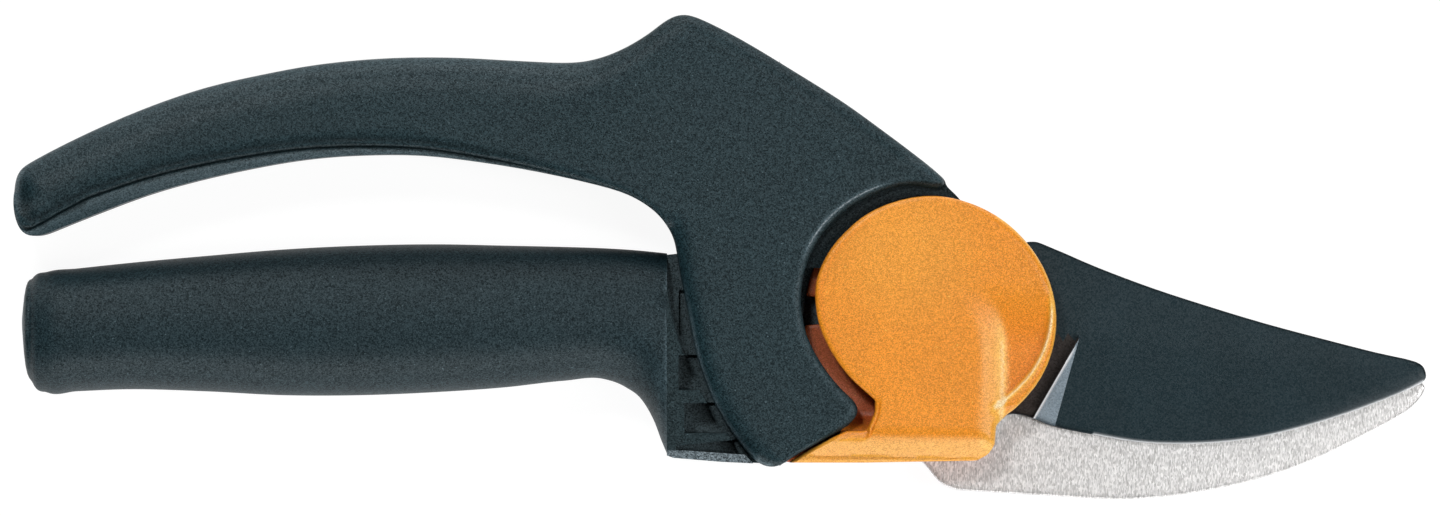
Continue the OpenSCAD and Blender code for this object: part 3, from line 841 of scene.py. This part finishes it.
def blade_edge_and_painted_light(x, y, d):
    """Pale along the cutting edge and its bevel near the tip, where bare steel shows and a painted highlight
    is added; a painted highlight along the facet's edge; painted shade along the spine, at the choil and at
    the foot of the facet.
    """
    edge = gap_to(x, y, cutting_edge)
    sharp = 0.9 * bell(edge, 0.0, 0.22) * ease(x, 16, 26)
    bevel = 0.05 * (1 - ease(edge, 0.5, 1.7)) * ease(x, 50, 66)
    left = beyond(x, y, wedge_top, wedge_left)
    within = (y < wedge_top[1] + 0.4) & (y > -15.9) & (x < 22.2)
    line = bell(left, -0.14, 0.13) * within * ease(-y, 3.2, 6.5)
    spine = bell(d, 0.0, 0.25) * (y > 12 - 0.28 * x)
    choil = bell(edge, 0.1, 0.35) * (x < 24)
    dark = bell(left, 0.22, 0.2) * within + spine + choil
    return np.where(line > 0.3, line, sharp + bevel - 0.8 * dark)


wedge_line = stretch(wedge_top, wedge_left)
blade_creases = [wedge_line, stretch(wedge_top, wedge_right)]
blade_creases += [offset(wedge_line, by) for by in (-0.45, -0.25, -0.1, 0.12, 0.25)]
blade = relief(blade_loops, blade_top, blade_box[0][2], rims=[0.08, 0.16, 0.3, 0.55, 1.2], spacing=1.5,
               creases=blade_creases, box=blade_box, tint=blade_edge_and_painted_light)
blade_skin = place("cutting_blade_skin", blade, "blade", ["cutting_blade"], coat, angle=9)
blade_skin.data.materials.append(facet)
blade_skin.data.materials.append(root_coat)
facet_index, root_index = 1, 2
for polygon in blade_skin.data.polygons:
    x, y, z = polygon.center / MM
    if polygon.normal.z > 0.5 and z > 12 and y < 6:
        if beyond(x, y, wedge_top, wedge_left) > 0:
            polygon.material_index = root_index if y < wedge_top[1] else 0
        elif beyond(x, y, wedge_top, wedge_right) > 0:
            polygon.material_index = facet_index

# ---- lower grip ----

grip_box = node_box("lower_grip")
grip_x = np.unique(np.round([v.co.x / MM for v in nodes["lower_grip"].data.vertices], 2))


def loft(rings):
    """A closed tube through rings of points, each with the same count."""
    n, m = len(rings[0]), len(rings)
    faces = [tuple(range(n)), tuple(range((m - 1) * n, m * n))[::-1]]
    faces += [((i + 1) * n + (k + 1) % n, (i + 1) * n + k, i * n + k, i * n + (k + 1) % n)
              for i in range(m - 1) for k in range(n)]
    return np.vstack(rings), faces


def grip_skin():
    """The grip as one smooth tube: superellipses through the CAD sleeve's stations, closest at the ends."""
    middle_z = grip_box[1][2] / 2
    corners = np.array([v.co for v in nodes["lower_grip"].data.vertices]) / MM
    stations = []
    for x in grip_x:
        ring = corners[abs(corners[:, 0] - x) < 0.006]
        if len(ring) > 24:
            stations.append([x, ring[:, 1].max(), ring[:, 1].min(), ring[:, 2].max() - middle_z])
    knots, tops, bottoms, halves = np.array(stations).T
    part = np.linspace(0, 1, 190)
    at = knots[0] + (knots[-1] - knots[0]) * (0.35 * part + 0.65 * ease(part, 0, 1))
    angle = np.linspace(0, 2 * np.pi, 72, endpoint=False)
    power = 2 / 2.3
    across = np.sign(np.cos(angle)) * abs(np.cos(angle)) ** power
    up = np.sign(np.sin(angle)) * abs(np.sin(angle)) ** power
    rings = []
    for x, top, bottom, half in zip(at, *(spline(at, knots, values) for values in (tops, bottoms, halves))):
        y = (top + bottom) / 2 + (top - bottom) / 2 * across
        rings.append(np.column_stack([np.full(len(angle), x), y, middle_z + half * up]))
    points, faces = loft(rings)
    points = np.clip(points, grip_box[0], grip_box[1])
    x, y = points[:, 0], points[:, 1]
    # Painted highlights along both ends, and painted shade along the top side that faces the upper handle.
    right_end = bell(x, -41.2, 0.35) + 0.5 * bell(x, -42.2, 0.7) * (y < -8)
    left_end = bell(x, grip_box[0][0], 0.5)
    return points, faces, 0.5 * left_end + 0.35 * right_end - 0.35 * ease(y, 4.0, 8.5)


place("lower_grip_skin", grip_skin(), "frame", ["lower_grip"], grip_black, angle=50)

# ---- the CAD nodes that keep their shape ----

finishes = {
    "frame_plastic": frame_black, "handle_plastic": handle_black, "grip_rubber": grip_black,
    "buffer_rubber": rubber, "orange_plastic": orange, "ground_steel": steel, "coated_steel": coat,
    "zinc_steel": zinc, "gear_steel": sintered, "bronze": bronze,
}
for node in nodes.values():
    node.material_slots[0].material = finishes[node.material_slots[0].material.name.split(".")[0]]
edge_widths = {
    "core_frame": 0.35, "rear_cover": 0.4, "head_rear_shell": 0.5, "lock_slider": 0.2,
    "pivot_bolt": 0.25, "blade_gear": 0.1, "handle_gear": 0.1, "stop_buffer": 0.2,
}
for name, width in edge_widths.items():
    weld = nodes[name].modifiers.new("weld", "WELD")
    weld.merge_threshold = 0.00001
    bevel = nodes[name].modifiers.new("bevel", "BEVEL")
    bevel.width = width * MM
    bevel.segments = 2
    bevel.limit_method = "ANGLE"
    bevel.angle_limit = math.radians(50)

bpy.context.view_layer.update()

# ---- stage ----

reference_z = 12.0  # the level at which the picture is view_width wide
view_width = 220.3
camera_gap = 2000.0
centre = (-33.1, 8.9)
sensor_width = 36
floor_half = 3000

floor_corners = [(-floor_half, -floor_half, 0), (floor_half, -floor_half, 0),
                 (floor_half, floor_half, 0), (-floor_half, floor_half, 0)]
floor = make_object("floor", floor_corners, [(0, 1, 2, 3)])
floor_nodes = Nodes("floor_paper")
floor_nodes.set(Base_Color=(0.14, 0.14, 0.14, 1), Roughness=0.9, Specular_IOR_Level=0.1,
                Emission_Color=(1, 1, 1, 1), Emission_Strength=0.93)
floor.data.materials.append(floor_nodes.material)

camera_data = bpy.data.cameras.new("camera")
camera_data.sensor_width = sensor_width
camera_data.lens = sensor_width * camera_gap / view_width
camera_data.clip_end = 50
camera = bpy.data.objects.new("camera", camera_data)
camera.location = (centre[0] * MM, centre[1] * MM, (reference_z + camera_gap) * MM)
bpy.context.scene.collection.objects.link(camera)
bpy.context.scene.camera = camera


def softbox(name, towards, metres_away, width, height, power):
    """A rectangular light that faces the middle of the tool from the given direction."""
    data = bpy.data.lights.new(name, "AREA")
    data.shape = "RECTANGLE"
    data.size = width
    data.size_y = height
    data.energy = power
    lamp = bpy.data.objects.new(name, data)
    aim = Vector((centre[0] * MM, centre[1] * MM, 0.01))
    direction = Vector(towards).normalized()
    lamp.location = aim + direction * metres_away
    lamp.rotation_euler = direction.to_track_quat("Z", "Y").to_euler()
    bpy.context.scene.collection.objects.link(lamp)


# Direction, distance, width and height in metres, power in watts.
softbox("back_softbox", (0, 1.0, 0.42), 0.9, 1.3, 0.4, 6.0)
softbox("front_softbox", (0, -1.0, 0.4), 0.9, 1.3, 0.35, 7.0)
softbox("right_strip", (1.0, -0.12, 1.55), 0.9, 0.12, 0.6, 3.2)
softbox("key", (-0.25, 0.45, 1.1), 1.2, 0.14, 0.14, 4.0)

# A pale sky that dims towards the top.
world = bpy.data.worlds.new("studio")
world.use_nodes = True
sky = world.node_tree
towards = sky.nodes.new("ShaderNodeSeparateXYZ")
sky.links.new(sky.nodes.new("ShaderNodeTexCoord").outputs["Generated"], towards.inputs[0])
glow = sky.nodes.new("ShaderNodeMapRange")
glow.inputs["From Min"].default_value = 0.25
glow.inputs["From Max"].default_value = 0.95
glow.inputs["To Min"].default_value = 1.15
glow.inputs["To Max"].default_value = 0.5
sky.links.new(towards.outputs["Z"], glow.inputs["Value"])
sky.links.new(glow.outputs["Result"], sky.nodes["Background"].inputs["Strength"])
bpy.context.scene.world = world
bpy.context.scene.view_settings.view_transform = "Standard"
